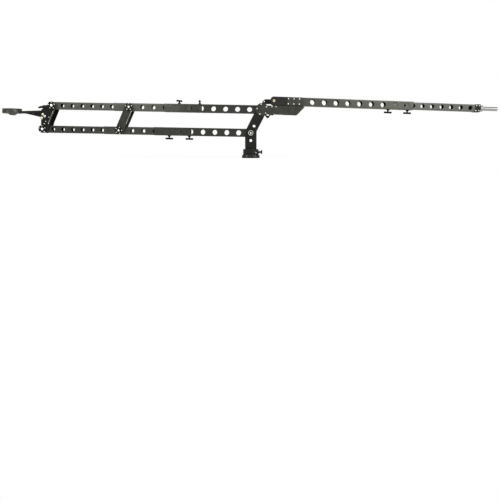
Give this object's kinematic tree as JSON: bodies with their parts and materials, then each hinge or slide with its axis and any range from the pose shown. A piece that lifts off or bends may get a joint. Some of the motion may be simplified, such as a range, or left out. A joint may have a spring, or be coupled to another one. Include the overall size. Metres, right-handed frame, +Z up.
{
  "type": "camera jib crane",
  "caption": "Telescopic camera jib: parallelogram boom of perforated square tubes on a panning post, folding counterweight arm with weight bar, camera bowl at the front.",
  "frame": {"origin": "centre of the base flange's underside, on the pan axis", "axes": "+Z up along the pan axis, +X towards the counterweight end, -X towards the camera bowl"},
  "size_m": [3.1387, 0.119, 0.3791],
  "materials": {
    "black_anodised": "satin black anodised",
    "tube_anodised": "satin black anodised, drawn lengthwise",
    "knob_black": "matt black powder coat",
    "steel": "turned and polished",
    "brass": "turned",
    "black_nylon": "matt"
  },
  "bodies": {
    "base": {"base_flange": "black_anodised", "pan_bearing": "steel", "pan_spindle": "steel"},
    "post": {"post_hub": "black_anodised", "post_plate_near": "black_anodised", "post_plate_far": "black_anodised", "post_foot_block": "black_anodised", "upper_pivot_shaft": "steel", "lower_pivot_shaft": "steel"},
    "pan_knob": {"pan_lock_knob": "knob_black"},
    "upper_arm": {"upper_arm_tube": "tube_anodised", "knuckle_plate_near": "black_anodised", "knuckle_plate_far": "black_anodised", "knuckle_block": "tube_anodised", "rear_cradle": "black_anodised", "knuckle_lug": "black_anodised", "latch_bracket": "black_anodised", "latch_pin": "steel", "fold_hinge_pin": "brass"},
    "upper_knob_1": {"upper_clamp_knob_1": "knob_black"},
    "upper_knob_2": {"upper_clamp_knob_2": "knob_black"},
    "lower_arm": {"lower_arm_tube": "tube_anodised"},
    "lower_knob_1": {"lower_clamp_knob_1": "knob_black"},
    "lower_knob_2": {"lower_clamp_knob_2": "knob_black"},
    "upper_mid": {"upper_mid_tube": "tube_anodised"},
    "lower_mid": {"lower_mid_tube": "tube_anodised"},
    "upper_front": {"upper_front_tube": "tube_anodised"},
    "lower_front": {"lower_front_tube": "tube_anodised"},
    "mid_link": {"mid_link_plate_near": "black_anodised", "mid_link_plate_far": "black_anodised", "mid_link_upper_cap_near": "black_anodised", "mid_link_upper_cap_far": "black_anodised", "mid_link_lower_cap_near": "black_anodised", "mid_link_lower_cap_far": "black_anodised"},
    "head": {"head_plate_near": "black_anodised", "head_plate_far": "black_anodised", "head_bridge": "black_anodised", "head_rod": "steel", "head_upper_shaft": "steel", "head_lower_shaft": "steel", "head_tilt_pin": "brass", "head_upper_cap_near": "black_anodised", "head_upper_cap_far": "black_anodised", "head_lower_cap_near": "black_anodised", "head_lower_cap_far": "black_anodised"},
    "head_knob": {"head_lock_knob": "knob_black"},
    "head_platform": {"head_tongue": "black_anodised", "camera_bowl": "black_anodised"},
    "latch": {"latch_lever": "black_anodised"},
    "rear_arm": {"rear_arm_tube": "tube_anodised", "rear_hinge_cheek_near": "black_anodised", "rear_hinge_cheek_far": "black_anodised", "rear_guide_sleeve": "black_nylon"},
    "rear_knob_1": {"rear_clamp_knob_1": "knob_black"},
    "rear_knob_2": {"rear_clamp_knob_2": "knob_black"},
    "rear_inner": {"rear_inner_tube": "tube_anodised", "rear_tail_sleeve": "black_nylon", "rear_end_cap": "black_anodised", "weight_bar": "steel", "weight_bar_collar": "steel"}
  },
  "joints": [
    {"name": "pan", "type": "hinge", "parent": "base", "child": "post", "pos_m": [0, 0, 0], "axis": [0, 0, 1], "continuous": true},
    {"name": "pan_knob_turn", "type": "hinge", "parent": "post", "child": "pan_knob", "pos_m": [0, 0, 0.037], "axis": [1, 0, 0], "continuous": true},
    {"name": "boom_tilt", "type": "hinge", "parent": "post", "child": "upper_arm", "pos_m": [0.07014, 0, 0.30081], "axis": [0, 1, 0], "range_deg": [-40, 45]},
    {"name": "lower_arm_tilt", "type": "hinge", "parent": "post", "child": "lower_arm", "pos_m": [0, 0, 0.157], "axis": [0, 1, 0], "range_deg": [-40, 45]},
    {"name": "mid_slide", "type": "slide", "parent": "upper_arm", "child": "upper_mid", "axis": [0.9998, 0, -0.0183], "range_m": [0, 0.2]},
    {"name": "lower_mid_slide", "type": "slide", "parent": "lower_arm", "child": "lower_mid", "axis": [0.9998, 0, -0.0183], "range_m": [0, 0.2]},
    {"name": "front_slide", "type": "slide", "parent": "upper_mid", "child": "upper_front", "axis": [0.9998, 0, -0.0183], "range_m": [0, 0.37]},
    {"name": "lower_front_slide", "type": "slide", "parent": "lower_mid", "child": "lower_front", "axis": [0.9998, 0, -0.0183], "range_m": [0, 0.37]},
    {"name": "mid_link_pivot", "type": "hinge", "parent": "upper_mid", "child": "mid_link", "pos_m": [-0.76572, 0, 0.31613], "axis": [0, 1, 0], "range_deg": [-45, 40]},
    {"name": "head_pivot", "type": "hinge", "parent": "upper_front", "child": "head", "pos_m": [-1.24864, 0, 0.32498], "axis": [0, 1, 0], "range_deg": [-45, 40]},
    {"name": "head_tilt", "type": "hinge", "parent": "head", "child": "head_platform", "pos_m": [-1.30764, 0, 0.27098], "axis": [0, 1, 0], "range_deg": [-8, 5]},
    {"name": "head_knob_turn", "type": "hinge", "parent": "head", "child": "head_knob", "pos_m": [-1.24864, 0, 0.31698], "axis": [-1, 0, 0], "continuous": true},
    {"name": "rear_fold", "type": "hinge", "parent": "upper_arm", "child": "rear_arm", "pos_m": [0.14563, 0, 0.3537], "axis": [0, 1, 0], "range_deg": [-170, 0]},
    {"name": "rear_slide", "type": "slide", "parent": "rear_arm", "child": "rear_inner", "axis": [-0.9994, 0, 0.0349], "range_m": [0, 0.385]},
    {"name": "latch_lift", "type": "hinge", "parent": "upper_arm", "child": "latch", "pos_m": [0.08433, 0, 0.34946], "axis": [0, 1, 0], "range_deg": [-70, 0]},
    {"name": "upper_knob_1_turn", "type": "hinge", "parent": "upper_arm", "child": "upper_knob_1", "pos_m": [-0.45231, 0, 0.33579], "axis": [0.0183, 0, 0.9998], "continuous": true},
    {"name": "lower_knob_1_turn", "type": "hinge", "parent": "lower_arm", "child": "lower_knob_1", "pos_m": [-0.52338, 0, 0.14119], "axis": [-0.0183, 0, -0.9998], "continuous": true},
    {"name": "upper_knob_2_turn", "type": "hinge", "parent": "upper_arm", "child": "upper_knob_2", "pos_m": [-0.32333, 0, 0.33342], "axis": [0.0183, 0, 0.9998], "continuous": true},
    {"name": "lower_knob_2_turn", "type": "hinge", "parent": "lower_arm", "child": "lower_knob_2", "pos_m": [-0.3944, 0, 0.13882], "axis": [-0.0183, 0, -0.9998], "continuous": true},
    {"name": "rear_knob_1_turn", "type": "hinge", "parent": "rear_arm", "child": "rear_knob_1", "pos_m": [0.8713, 0, 0.30295], "axis": [-0.0349, 0, -0.9994], "continuous": true},
    {"name": "rear_knob_2_turn", "type": "hinge", "parent": "rear_arm", "child": "rear_knob_2", "pos_m": [0.99423, 0, 0.29866], "axis": [-0.0349, 0, -0.9994], "continuous": true}
  ],
  "couplings": [
    {"joint": "lower_arm_tilt", "follows": "boom_tilt", "ratio": 1},
    {"joint": "mid_link_pivot", "follows": "boom_tilt", "ratio": -1},
    {"joint": "head_pivot", "follows": "boom_tilt", "ratio": -1},
    {"joint": "lower_mid_slide", "follows": "mid_slide", "ratio": 1},
    {"joint": "lower_front_slide", "follows": "front_slide", "ratio": 1}
  ]
}
